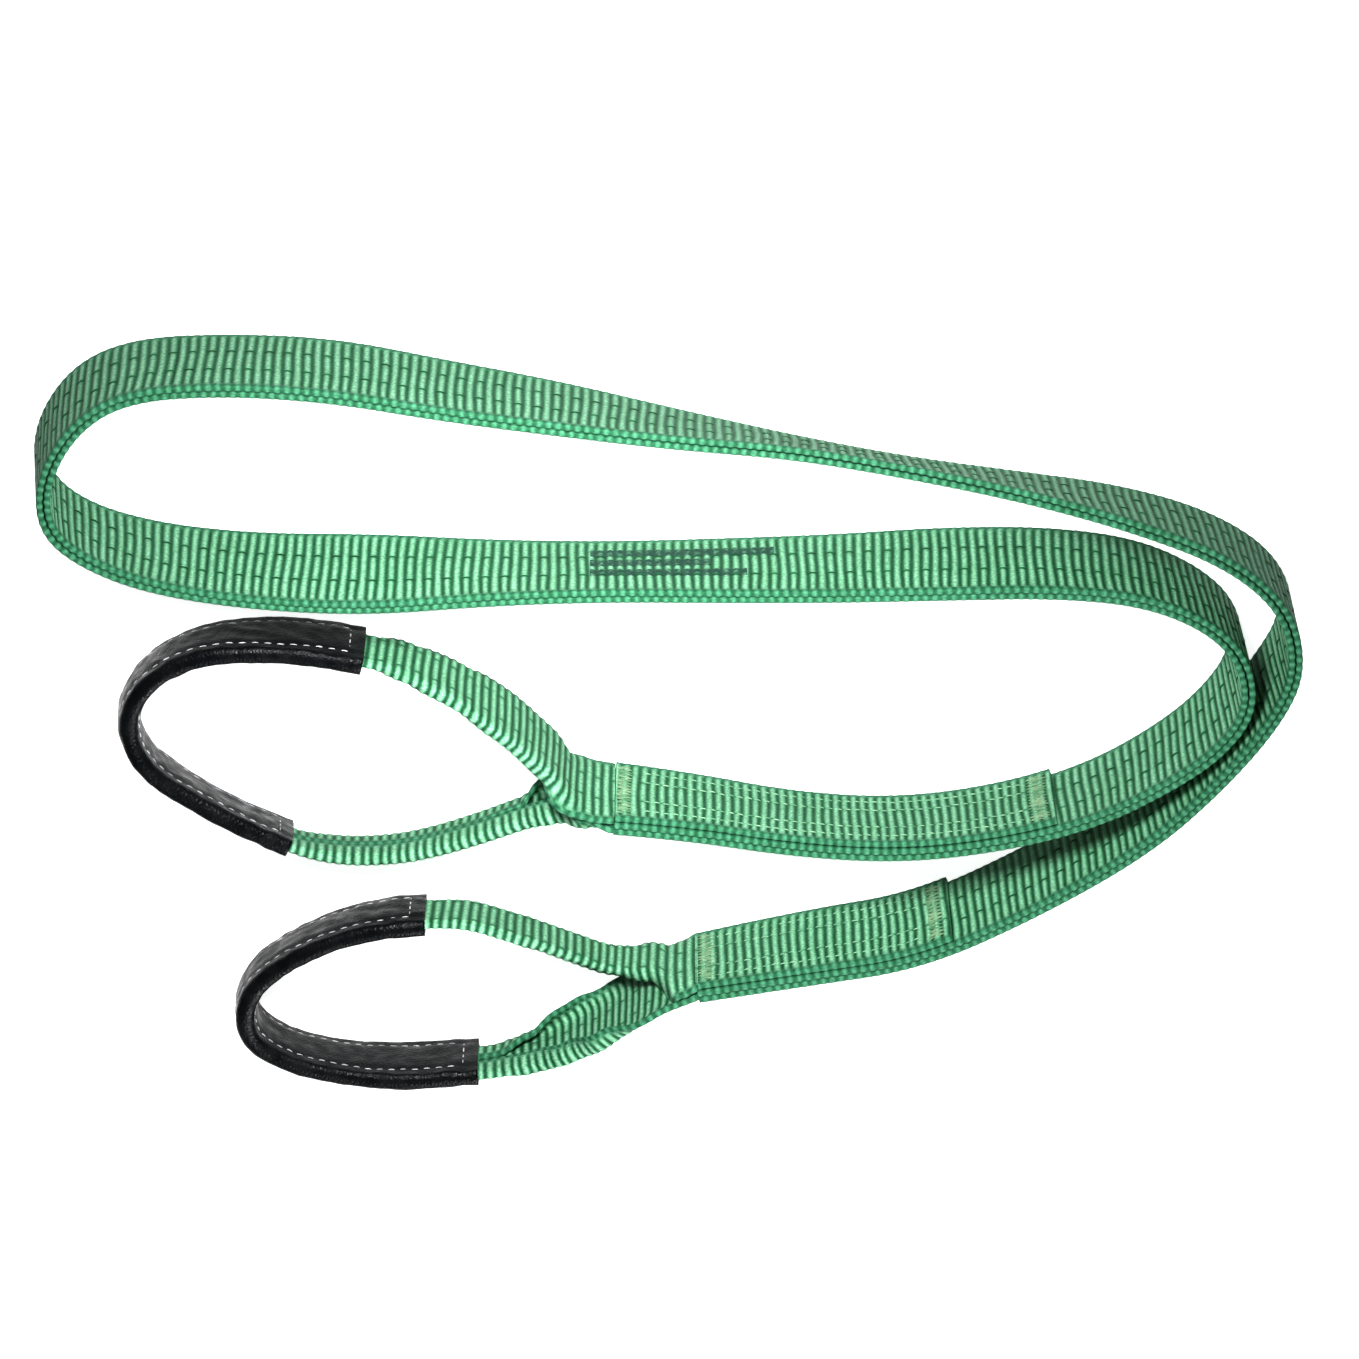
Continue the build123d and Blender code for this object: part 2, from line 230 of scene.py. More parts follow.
def tube_faces(rings, around, closed_ends=True):
    """The quads of a tube of rings, numbered ring by ring."""
    ring, place = np.meshgrid(np.arange(rings - 1), np.arange(around), indexing="ij")
    after = (place + 1) % around
    quads = [np.stack([
        ring * around + place, ring * around + after,
        (ring + 1) * around + after, (ring + 1) * around + place,
    ], axis=-1).reshape(-1, 4)]
    if closed_ends:
        i = np.arange(around // 2 - 1)
        cap = np.stack([i, around - 1 - i, around - 2 - i, i + 1], axis=-1)
        quads += [cap, cap[:, ::-1] + (rings - 1) * around]
    return np.concatenate(quads)


# ---- the woven webbing ---------------------------------------------------------------------
# Columns of vertices across the webbing: close together on the face that shows most.
EDGE_COLUMNS = np.array([0.0, 0.15, 0.5, 1.0, 1.7, 2.6]) * MM
FACE_COLUMNS = np.linspace(4.2, 45.8, 17) * MM
SEAM_COLUMNS = np.array([15.5, 16.5, 17.5, 32.5, 33.5, 34.5]) * MM
FINE = np.unique(np.concatenate([EDGE_COLUMNS, FACE_COLUMNS, SEAM_COLUMNS, WIDTH - EDGE_COLUMNS]))
COARSE = np.concatenate([
    EDGE_COLUMNS[1:], np.linspace(7.0, 43.0, 7) * MM, (WIDTH - EDGE_COLUMNS[1:])[::-1],
])


def rib_lengths(start, end):
    """Lengths along the webbing, close enough together to round each rib."""
    return np.linspace(start, end, max(4, round((end - start) / RIB * ROWS_PER_RIB)) + 1)


def sway(lengths, across):
    """How far the ribs wander along the webbing, a slow wave and a quick one."""
    slow = 0.35 * MM * np.sin(lengths / (41 * MM) + across / (19 * MM))
    return slow + 0.22 * MM * np.sin(lengths / (13 * MM) - across / (8 * MM) + 1.3)


def weave(lengths, across, shift=0.0):
    """How high the ribs stand, 0 to 1, how much is selvedge, and how deep a seam pulls in.

    shift moves the selvedge's beads along, by a share of their pitch.
    """
    swayed = lengths + sway(lengths, across)
    # Towards the top edge the ribs draw together in pairs.
    near_edge = smoothstep((across - 33 * MM) / (9 * MM))
    pairing = 0.2 * MM * near_edge * np.sin(math.pi * swayed / RIB)
    wave = 0.5 + 0.5 * np.cos(2 * math.pi * ((swayed + pairing) / RIB))
    rib = wave ** 0.8
    from_edge = np.minimum(across, WIDTH - across)
    selvedge = 1 - smoothstep((from_edge - 1.6 * MM) / (1.8 * MM))
    bead = 0.5 + 0.5 * np.cos(2 * math.pi * (lengths / RIB + 0.5 + shift))
    height = rib * (1 - selvedge) + (0.66 + 0.34 * bead) * selvedge
    # A seam pulls in every second rib.
    at_stitch = 0.5 + 0.5 * np.cos(math.pi * swayed / RIB)
    pulled = np.zeros_like(height)
    for seam in SEAM_HEIGHTS:
        pulled += at_stitch ** 2 * np.exp(-(((across - seam) / (0.8 * MM)) ** 2))
    return height, selvedge, pulled


def half_thickness(across):
    """Half the webbing's thickness, rounded off at its two edges."""
    from_edge = np.minimum(across, WIDTH - across)
    inside = np.clip(1 - from_edge / (0.8 * MM), 0.0, 1.0)
    return PLY / 2 * np.sqrt(1 - inside ** 3)


def woven_thickness(across, height, pulled, rib_depth):
    """Half the thickness at each point, less its groove and the pull of a seam's stitch."""
    groove = rib_depth * (1 - height) * (across > 0) * (across < WIDTH)
    return np.maximum(half_thickness(across)[None, :] - groove - PINCH * pulled, 0.0)


def cloth_mesh(name, points, along_grid, across_grid, height, selvedge, pulled):
    """A tube of webbing, with what its material reads at each vertex."""
    # The rib field drives the webbing's painted shade: dark in the grooves and where a seam's stitch
    # pulls a rib in.
    fields = {"rib": height * (1 - STITCH_SHADE * pulled), "edge": selvedge,
              "along": along_grid, "across": across_grid}
    return mesh_object(name, points.reshape(-1, 3), tube_faces(*along_grid.shape), fields)


def band_section(fine_side):
    """The columns round a ply's section: the fine face first, then back along the other."""
    across = np.concatenate([FINE, COARSE[::-1]])
    side = np.concatenate([np.full(len(FINE), fine_side), np.full(len(COARSE), -fine_side)])
    return across, side


def ply_separation(lengths, bends):
    """How far the plies stand apart in the bends, beyond their plain gap."""
    apart = np.zeros_like(lengths)
    for start, end, amount in bends:
        middle, half = (start + end) / 2, (end - start) / 2
        apart += amount * smoothstep(1.3 * (1 - np.abs(lengths - middle) / half))
    return apart


def flat_ply(name, route, start, end, offset, fine_side, bends=(), inset=0.0):
    """A stretch of one ply of webbing, standing on its edge beside the route's middle.

    fine_side is 1 or -1, for the face with the closer columns, and inset narrows each edge.
    """
    lengths = rib_lengths(start, end)
    across, side = band_section(fine_side)
    along_grid, across_grid = np.meshgrid(lengths, across, indexing="ij")
    height, selvedge, pulled = weave(along_grid, across_grid, 0.25 * fine_side)
    thick = woven_thickness(across, height, pulled, RIB_DEPTH)
    apart = ply_separation(lengths, bends)[:, None] * np.sign(offset)
    standing = inset + across_grid * (1 - 2 * inset / WIDTH)
    points = route.points(along_grid, standing, offset + apart + side[None, :] * thick)
    return cloth_mesh(name, points, along_grid, across_grid, height, selvedge, pulled)


# The eyes' webbing has both edges folded in, to meet on the eye's inner side.
CLOSED_FOLD = 5.2 * MM      # webbing taken up by a closed fold
OPEN_FOLD = 20.0 * MM       # and by one that is flat again
FOLD_CENTRE = 1.65 * MM     # from the back layer of a closed fold to its middle
SLEEVE_LIFT = 1.7 * MM      # the webbing rides this far up inside its sleeve
SLEEVE_SQUEEZE = 0.22       # and is pressed thinner by this share
HIDDEN_FROM = 12 * MM       # this far inside a sleeve nothing shows, and the webbing is left plain


def folded_section(across, lower, upper):
    """The section's middle line, each fold given as (how open, how wide its flap is).

    Returns each column's offset, height and normal.
    """
    fine = np.linspace(0.0, WIDTH, 201)
    angle = np.full(fine.shape, math.pi / 2)
    for (opened, flap), place, way in ((lower, lower[1], -1), (upper, WIDTH - upper[1], 1)):
        size = CLOSED_FOLD + (OPEN_FOLD - CLOSED_FOLD) * opened
        turned = smoothstep(way * (fine - place) / size + 0.5)
        angle = angle - way * math.pi * 0.99 * (1 - opened) * turned
    step = fine[1] - fine[0]
    offset = np.cumsum(np.cos(angle)) * step
    height = np.cumsum(np.sin(angle)) * step
    offset -= offset[len(fine) // 2] + FOLD_CENTRE * (1 - lower[0]) * (1 - upper[0])
    # A round fold's middle line stays half a ply off the floor, and a cut edge stands on it.
    height += PLY / 2 * min(1.0, 2.5 * (1 - lower[0])) - height.min()
    return tuple(np.interp(across, fine, values) for values in (
        offset, height, -np.sin(angle), np.cos(angle)))


def eye_webbing(name, route, openings, sleeve):
    """An eye's webbing, throat to throat, with its folds opened as the list says.

    openings holds the length along, how open each fold is, lower first, from 0, shut, to 1,
    flat, how wide each folded flap is, and how far the webbing is off the floor.
    """
    hidden_start, hidden_end = sleeve[0] + HIDDEN_FROM, sleeve[1] - HIDDEN_FROM
    lengths = np.concatenate([
        rib_lengths(0.0, hidden_start)[:-1],
        np.linspace(hidden_start, hidden_end, 50)[:-1],
        rib_lengths(hidden_end, route.length),
    ])
    hidden = (lengths > hidden_start) & (lengths < hidden_end)
    across = np.concatenate([FINE, FINE[1:-1][::-1]])
    side = np.concatenate([np.ones(len(FINE)), -np.ones(len(FINE) - 2)])
    along_grid, across_grid = np.meshgrid(lengths, across, indexing="ij")
    height, selvedge, pulled = weave(along_grid, across_grid)
    height[hidden] = 0.4
    pulled[hidden] = 0.0
    thick = woven_thickness(across, height, pulled, EYE_RIB_DEPTH)
    places, *columns = (np.array(column) for column in zip(*openings))
    low, high, low_flap, high_flap, lift = (
        smoothstep_between(lengths, places, column) for column in columns)
    inside = smoothstep((lengths - sleeve[0]) / (20 * MM) + 1)
    inside *= smoothstep((sleeve[1] - lengths) / (20 * MM) + 1)
    lift = np.maximum(lift, SLEEVE_LIFT * inside)
    squeeze = 1 - SLEEVE_SQUEEZE * inside
    standing = np.zeros_like(along_grid)
    beside = np.zeros_like(along_grid)
    for i in range(len(lengths)):
        offset, rise, across_n, up_n = folded_section(
            across, (low[i], low_flap[i]), (high[i], high_flap[i]))
        beside[i] = (offset + side * thick[i] * across_n) * squeeze[i]
        standing[i] = rise + lift[i] + side * thick[i] * up_n
    points = route.points(along_grid, standing, beside)
    return cloth_mesh(name, points, along_grid, across_grid, height, selvedge, pulled)


# ---- stitches ----------------------------------------------------------------------------
STITCH_RINGS = np.linspace(0.0, 1.0, 7)
STITCH_AROUND = 8


def stitches(name, starts, ends, normals, radius, arch):
    """Stitches from start to end, each an arched thread that dives into the cloth at its ends."""
    starts, ends, normals = (np.asarray(a) for a in (starts, ends, normals))
    run = ends - starts
    run_unit = run / np.linalg.norm(run, axis=1, keepdims=True)
    beside = np.cross(normals, run_unit)
    lift = np.sin(math.pi * STITCH_RINGS) ** 0.6
    slim = 0.55 + 0.45 * np.sin(math.pi * STITCH_RINGS) ** 0.5
    angles = np.linspace(0.0, 2 * math.pi, STITCH_AROUND, endpoint=False)
    centre = (starts[:, None] + run[:, None] * STITCH_RINGS[None, :, None]
              + normals[:, None] * (arch * lift - radius)[None, :, None])
    around = (beside[:, None, None] * np.cos(angles)[None, None, :, None]
              + normals[:, None, None] * np.sin(angles)[None, None, :, None])
    rings = centre[:, :, None] + around * (radius * slim)[None, :, None, None]
    count, rows, places = rings.shape[:3]
    one = tube_faces(rows, places)
    faces = (one[None] + (np.arange(count) * rows * places)[:, None, None]).reshape(-1, 4)
    tone = np.repeat(np.random.default_rng(7).random(count), rows * places)
    return mesh_object(name, rings.reshape(-1, 3), faces, {"tone": tone})


def on_face(route, lengths, heights, offset):
    """Points on a flat ply's outer face, and the way out of it, for stitches."""
    lengths, heights = np.asarray(lengths, float), np.asarray(heights, float)
    points = route.points(lengths, heights, np.full(lengths.shape, offset))
    return points, route.lines(lengths)[2] * math.copysign(1.0, offset)


def seam_dashes(route, start, end, heights, offset, bends=()):
    """Start, end and normal of a stitch over every second rib, along a face."""
    first, last = math.ceil(start / (2 * RIB)), math.floor(end / (2 * RIB))
    found = [], [], []
    for height in heights:
        middles = np.arange(first, last + 1) * 2 * RIB
        middles = middles[(middles > start + RIB) & (middles < end - RIB)]
        apart = ply_separation(middles, bends) * math.copysign(1.0, offset)
        for which, shift in ((0, -0.52 * RIB), (1, 0.52 * RIB)):
            lengths = middles - sway(middles, height) + shift
            found[which].append(route.points(lengths, np.full(lengths.shape, height),
                                             offset + apart))
        found[2].append(route.lines(middles)[2] * math.copysign(1.0, offset))
    return tuple(np.concatenate(part) for part in found)


body = Route(BODY)
MID_STRAND = (body.length_at(24.5), body.length_at(33.5))


# ---- materials ------------------------------------------------------------------------------
def new_material(name, roughness, specular):
    """A node material, its shader with uniform values set on it, and a node maker."""
    material = bpy.data.materials.new(name)
    material.use_nodes = True
    nodes, links = material.node_tree.nodes, material.node_tree.links
    shader = nodes["Principled BSDF"]
    shader.inputs["Roughness"].default_value = roughness
    shader.inputs["Specular IOR Level"].default_value = specular

    def add(kind, values=None, **settings):
        """A node, each of its sockets set to a value or linked to another node's."""
        node = nodes.new(kind)
        for key, value in settings.items():
            setattr(node, key, value)
        for socket, value in (values or {}).items():
            if isinstance(value, bpy.types.NodeSocket):
                links.new(value, node.inputs[socket])
            else:
                node.inputs[socket].default_value = value
        return node

    return material, shader, add, links


def ramp(add, source, stops):
    """A colour ramp with the given places and colours."""
    node = add("ShaderNodeValToRGB", {"Fac": source})
    for _ in stops[2:]:
        node.color_ramp.elements.new(0.5)
    for element, (place, colour) in zip(node.color_ramp.elements, stops):
        element.position = place
        element.color = (*colour, 1.0)
    return node.outputs["Color"]


def mixed(add, amount, first, second, blend="MIX"):
    """Two colours mixed by an amount, which may vary over the surface."""
    node = add("ShaderNodeMix", data_type="RGBA", blend_type=blend)
    for socket, value in (("Factor", amount), ("A", first), ("B", second)):
        place = next(i for i in node.inputs if i.name == socket and i.enabled)
        if isinstance(value, bpy.types.NodeSocket):
            node.id_data.links.new(value, place)
        else:
            place.default_value = value if socket == "Factor" else (*value, 1.0)
    return next(o for o in node.outputs if o.enabled)


def read(add, field):
    """What the mesh holds at each vertex under the field's name."""
    return add("ShaderNodeAttribute", attribute_name=field).outputs["Fac"]


def maths(add, operation, *values):
    """The result of one Math node."""
    return add("ShaderNodeMath", dict(enumerate(values)), operation=operation).outputs[0]


def webbing_material(name, marked=False):
    """Green ribbed webbing: pale ribs, painted shade in the grooves, a deeper green selvedge, fine
    yarns.
    """
    material, shader, add, links = new_material(name, 0.62, 0.12)
    rib, edge, along, across = (read(add, field) for field in ("rib", "edge", "along", "across"))
    place = add("ShaderNodeTexCoord").outputs["Object"]
    # Painted shade: the colour darkens from each rib's top down into its groove, and between the
    # selvedge's beads.
    face = ramp(add, rib, [
        (0.0, (0.012, 0.080, 0.034)), (0.35, (0.050, 0.215, 0.11)),
        (0.7, (0.19, 0.49, 0.30)), (1.0, (0.34, 0.68, 0.46)),
    ])
    border = ramp(add, rib, [
        (0.5, (0.010, 0.085, 0.040)), (0.75, (0.030, 0.165, 0.085)), (1.0, (0.095, 0.33, 0.19)),
    ])
    colour = mixed(add, edge, face, border)
    yarns = add("ShaderNodeTexNoise", {"Vector": place, "Scale": 900.0, "Detail": 2.0})
    speckle = ramp(add, yarns.outputs["Fac"], [
        (0.32, (0.62, 0.66, 0.62)), (0.62, (1.08, 1.05, 1.06)),
    ])
    blotches = add("ShaderNodeTexNoise", {"Vector": place, "Scale": 70.0, "Detail": 3.0})
    fading = ramp(add, blotches.outputs["Fac"], [
        (0.3, (0.86, 0.9, 0.86)), (0.7, (1.06, 1.02, 1.04)),
    ])
    for tint in (speckle, fading):
        colour = mixed(add, 1.0, colour, tint, "MULTIPLY")
    if marked:
        ink = printed_bars(add, along, across)
        worn = add("ShaderNodeTexNoise", {"Vector": place, "Scale": 420.0, "Detail": 3.0})
        cover = ramp(add, worn.outputs["Fac"], [(0.36, (0.6,) * 3), (0.56, (1.0,) * 3)])
        colour = mixed(add, maths(add, "MULTIPLY", ink, cover), colour, (0.014, 0.065, 0.045))
    links.new(colour, shader.inputs["Base Color"])
    # Fine weft yarns along each rib, as bump.
    weft = add("ShaderNodeTexWave", {
        "Vector": add("ShaderNodeCombineXYZ", {"X": along, "Y": across}).outputs[0],
        "Scale": 230.0, "Distortion": 3.0, "Detail": 2.0, "Detail Scale": 1.5,
    }, bands_direction="Y")
    fuzz = maths(add, "ADD", weft.outputs["Fac"], yarns.outputs["Fac"])
    bump = add("ShaderNodeBump", {"Height": fuzz, "Strength": 0.5, "Distance": 0.22 * MM})
    links.new(bump.outputs[0], shader.inputs["Normal"])
    return material


MARK_FROM, MARK_TO = 48.0, -29.0    # the print's two ends on the middle strand, as the routes' X
MARK_LOW, MARK_DEEP = 8.5 * MM, 28.0 * MM   # its lower edge, and how far up it goes
MARK_BARS = (0.94, 0.62, 0.8)       # each bar's share of the print's length


def printed_bars(add, along, across):
    """1 inside three plain bars of different lengths, worked out from lengths on the cloth."""
    ends = [body.length_at_x((x - ORIGIN[0]) * MM, *MID_STRAND) for x in (MARK_FROM, MARK_TO)]
    start, long = min(ends), abs(ends[1] - ends[0])
    ink = 0.0
    for row, share in enumerate(MARK_BARS):
        middle = MARK_LOW + MARK_DEEP * (row + 0.5) / len(MARK_BARS)
        up = maths(add, "ABSOLUTE", maths(add, "SUBTRACT", across, middle))
        within_height = maths(add, "LESS_THAN", up, MARK_DEEP / (3 * len(MARK_BARS)))
        aside = maths(add, "ABSOLUTE", maths(add, "SUBTRACT", along, start + long * share / 2))
        within_length = maths(add, "LESS_THAN", aside, long * share / 2)
        bar = maths(add, "MULTIPLY", within_height, within_length)
        ink = maths(add, "MAXIMUM", ink, bar)
    return ink


def thread_material(name, dark, light):
    """Twisted thread, each stitch a little different in tone."""
    material, shader, add, links = new_material(name, 0.55, 0.15)
    place = add("ShaderNodeTexCoord").outputs["Object"]
    fibres = add("ShaderNodeTexNoise", {"Vector": place, "Scale": 1800.0, "Detail": 2.0})
    both = maths(add, "ADD", read(add, "tone"), fibres.outputs["Fac"])
    half = maths(add, "MULTIPLY", both, 0.5)
    links.new(ramp(add, half, [(0.2, dark), (0.8, light)]), shader.inputs["Base Color"])
    bump = add("ShaderNodeBump", {
        "Height": fibres.outputs["Fac"], "Strength": 0.5, "Distance": 0.15 * MM})
    links.new(bump.outputs[0], shader.inputs["Normal"])
    return material


def sleeve_material():
    """Near-black synthetic leather: a fine pebbled grain, dusty highs and a soft gloss."""
    material, shader, add, links = new_material("wear_sleeve_leather", 0.4, 0.14)
    place = add("ShaderNodeTexCoord").outputs["Object"]
    grain = add("ShaderNodeTexVoronoi", {"Vector": place, "Scale": 950.0})
    dust = add("ShaderNodeTexNoise", {"Vector": place, "Scale": 55.0, "Detail": 5.0,
                                     "Roughness": 0.62})
    links.new(ramp(add, dust.outputs["Fac"], [
        (0.3, (0.0015, 0.0020, 0.0025)), (0.55, (0.003, 0.004, 0.005)), (0.8, (0.010, 0.0115, 0.013)),
    ]), shader.inputs["Base Color"])
    scuffs = add("ShaderNodeTexNoise", {"Vector": place, "Scale": 160.0, "Detail": 4.0})
    links.new(ramp(add, scuffs.outputs["Fac"], [(0.35, (0.27,) * 3), (0.7, (0.56,) * 3)]),
              shader.inputs["Roughness"])
    both = maths(add, "ADD", grain.outputs["Distance"], scuffs.outputs["Fac"])
    bump = add("ShaderNodeBump", {"Height": both, "Strength": 0.55, "Distance": 0.3 * MM})
    links.new(bump.outputs[0], shader.inputs["Normal"])
    return material


GREEN = webbing_material("green_webbing")
GREEN_MARKED = webbing_material("green_webbing_marked", marked=True)
LEATHER = sleeve_material()
SEAM_THREAD = thread_material("seam_thread", (0.005, 0.05, 0.018), (0.02, 0.13, 0.05))
LAP_THREAD = thread_material("lap_thread", (0.10, 0.30, 0.17), (0.34, 0.58, 0.38))
GREY_THREAD = thread_material("tack_thread", (0.05, 0.20, 0.10), (0.30, 0.42, 0.27))
WHITE_THREAD = thread_material("sleeve_thread", (0.34, 0.34, 0.36), (0.72, 0.72, 0.74))


def finish_piece(piece, material, rides_on, slot, *nodes):
    """Give a piece its material, the body that it rides on, if only one, and what it replaces."""
    piece.data.materials.append(material)
    if rides_on:
        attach(piece, rides_on)
    if nodes:
        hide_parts(*nodes)
    return piece


# ---- the body of the sling --------------------------------------------------------------------
# The bends, left, outer and inner: from, to, and how much further each ply stands out there.
BENDS = [(body.length_at(first), body.length_at(last), 0.1 * MM)
         for first, last in ((18.5, 25.0), (5.5, 10.5), (33.0, 38.5))]
PLIES = {"inner": 1.0, "outer": -1.0}       # to the route's left, and to its right

for name, (first, last) in STRANDS.items():
    start, end = body.length_at(first), body.length_at(last)
    for ply, hand in PLIES.items():
        piece = flat_ply(f"{name}_{ply}_webbing", body, start, end, hand * PLY_MIDDLE, hand,
                         bends=BENDS)
        marked = name == "mid_strand" and ply == "inner"
        rides = "free_strand" if name == "eye_2_strand" else "main_body"
        finish_piece(piece, GREEN_MARKED if marked else GREEN, rides, "green_webbing",
                     f"{name}_{ply}_ply")

# The outer bend rides on neither body, and is baked in place.
BEND_START, BEND_END = (body.length_at(place) for place in OUTER_BEND)
for ply, hand in PLIES.items():
    piece = flat_ply(f"outer_bend_{ply}_webbing", body, BEND_START, BEND_END, hand * PLY_MIDDLE,
                     hand, bends=BENDS)
    finish_piece(piece, GREEN, None, "green_webbing")
    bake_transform(piece)

# ---- the lapped ends ------------------------------------------------------------------------------
TAIL_OFFSET = BODY_HALF + 0.1 * MM + PLY / 2
TAIL_INSET = 0.6 * MM
# hand is the side of the body that a lapped end lies on. The two X, in the routes' own numbers,
# are looked for between the two lengths of near.
LAPS = {
    "1": {"hand": -1, "throat_x": -20.0, "end_x": 158.0, "body": "main_body",
          "near": (body.length_at(38.5), body.length)},
    "2": {"hand": 1, "throat_x": 14.0, "end_x": 118.0, "body": "free_strand",
          "near": (0.0, body.length_at(5.0))},
}
for eye, lap in LAPS.items():
    low, high = sorted(
        body.length_at_x((x - ORIGIN[0]) * MM, *lap["near"])
        for x in (lap["throat_x"], lap["end_x"]))
    lap["from"], lap["to"] = low, high
    piece = flat_ply(f"lapped_end_{eye}", body, low, high, lap["hand"] * TAIL_OFFSET, lap["hand"],
                     inset=TAIL_INSET)
    finish_piece(piece, GREEN, lap["body"], "green_webbing", f"lap_tail_{eye}")


# ---- the long seams -------------------------------------------------------------------------------
def stitched(name, parts, size, thread, rides_on, slot, *nodes):
    """One piece for all the stitches of the parts, each given as starts, ends and normals."""
    starts, ends, normals = (np.concatenate(part) for part in zip(*parts))
    piece = stitches(name, starts, ends, normals, *size)
    return finish_piece(piece, thread, rides_on, slot, *nodes)


def seam_piece(name, spans, rides_on, *nodes):
    """One piece for the seam stitches over the given (start, end, hand) spans."""
    parts = [seam_dashes(body, low, high, SEAM_HEIGHTS, hand * (BODY_HALF - SEAM_DIVE), BENDS)
             for low, high, hand in spans]
    return stitched(name, parts, SEAM_STITCH, SEAM_THREAD, rides_on, "green_thread", *nodes)


lap_1, lap_2 = LAPS["1"], LAPS["2"]
seam_piece("body_seams", [
    (BEND_END, lap_1["from"], -1), (BEND_END, lap_1["to"], 1),
], "main_body", "long_seams_main")
seam_piece("free_strand_seams", [
    (lap_2["to"], BEND_START, 1), (lap_2["from"], BEND_START, -1),
], "free_strand", "long_seams_free_strand")
bend_seams = seam_piece("outer_bend_seams", [
    (BEND_START, BEND_END, 1), (BEND_START, BEND_END, -1),
], None)
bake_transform(bend_seams)

# ---- stitching over the lapped ends -----------------------------------------------------------------
random = np.random.default_rng(3)       # for the unevenness of all the sewing
THROAT_BAR = (1.0 * MM, 6.5 * MM)       # from the throat, along the lap
END_TACK = (2.5 * MM, 10.5 * MM)        # from the lapped end, back along the lap
LAP_SEAMS = (9 * MM, 13 * MM)           # from the throat, and back from the lapped end
# Each zigzag: how far its start and its end are moved along, its lowest and its highest stitch,
# and how many threads it has.
THROAT_ZIGZAGS = ((0.0, 0.0, 4 * MM, 46 * MM, 34), (2 * MM, 2 * MM, 5 * MM, 45 * MM, 25))
TACK_ZIGZAGS = ((0.0, 0.0, 4.5 * MM, 45.5 * MM, 30), (1 * MM, -3 * MM, 6 * MM, 44 * MM, 22))


def zigzag(route, start, end, heights, offset, threads):
    """Stitches that run to and fro between two lengths, up across the webbing."""
    low, high = heights
    rise = (high - low) / threads
    at = low + rise * np.arange(threads)
    begins = np.where(np.arange(threads) % 2, end, start) + random.normal(0, 0.35 * MM, threads)
    finishes = np.where(np.arange(threads) % 2, start, end) + random.normal(0, 0.35 * MM, threads)
    first, normals = on_face(route, begins, at, offset)
    second, _ = on_face(route, finishes, at + rise, offset)
    return first, second, normals


def zigzags(start, end, offset, kinds):
    """The given kinds of zigzag between two lengths of the body."""
    return [zigzag(body, start + later, end + longer, (low, high), offset, threads)
            for later, longer, low, high, threads in kinds]


def row_of_stitches(route, start, end, height, offset, pitch, long):
    """A straight row of separate stitches along a face."""
    begins = np.arange(start, end - long, pitch)
    wander = height + random.normal(0, 0.25 * MM, len(begins))
    first, normals = on_face(route, begins, wander, offset)
    second, _ = on_face(route, begins + long, wander, offset)
    return first, second, normals


for eye, lap in LAPS.items():
    face = lap["hand"] * (TAIL_OFFSET + PLY / 2 - LAP_DIVE)
    back = -lap["hand"] * (BODY_HALF - LAP_DIVE)
    # Eye 1's throat is at the body's far end, and eye 2's is where the body starts.
    inward = -1 if eye == "1" else 1
    throat, tack = (lap["from"], lap["to"])[::inward]
    bar_start, bar_end = sorted(throat + inward * along for along in THROAT_BAR)
    parts = zigzags(bar_start, bar_end, face, THROAT_ZIGZAGS)
    parts += zigzags(bar_start, bar_end, back, THROAT_ZIGZAGS)
    stitched(f"throat_bar_{eye}", parts, TACK_STITCH, GREY_THREAD, lap["body"],
             "lap_thread", f"throat_stitching_{eye}")
    tack_start, tack_end = sorted(tack - inward * along for along in END_TACK)
    parts = zigzags(tack_start, tack_end, face, TACK_ZIGZAGS)
    stitched(f"lap_tack_{eye}", parts, TACK_STITCH, GREY_THREAD, lap["body"],
             "lap_thread", f"end_tack_{eye}")
    rows_from, rows_to = sorted((throat + inward * LAP_SEAMS[0], tack - inward * LAP_SEAMS[1]))
    parts = [row_of_stitches(body, rows_from, rows_to, height, face, RIB, LAP_DASH)
             for height in LAP_ROWS]
    stitched(f"lap_rows_{eye}", parts, LAP_STITCH, LAP_THREAD, lap["body"],
             "lap_thread", f"lap_stitching_{eye}")
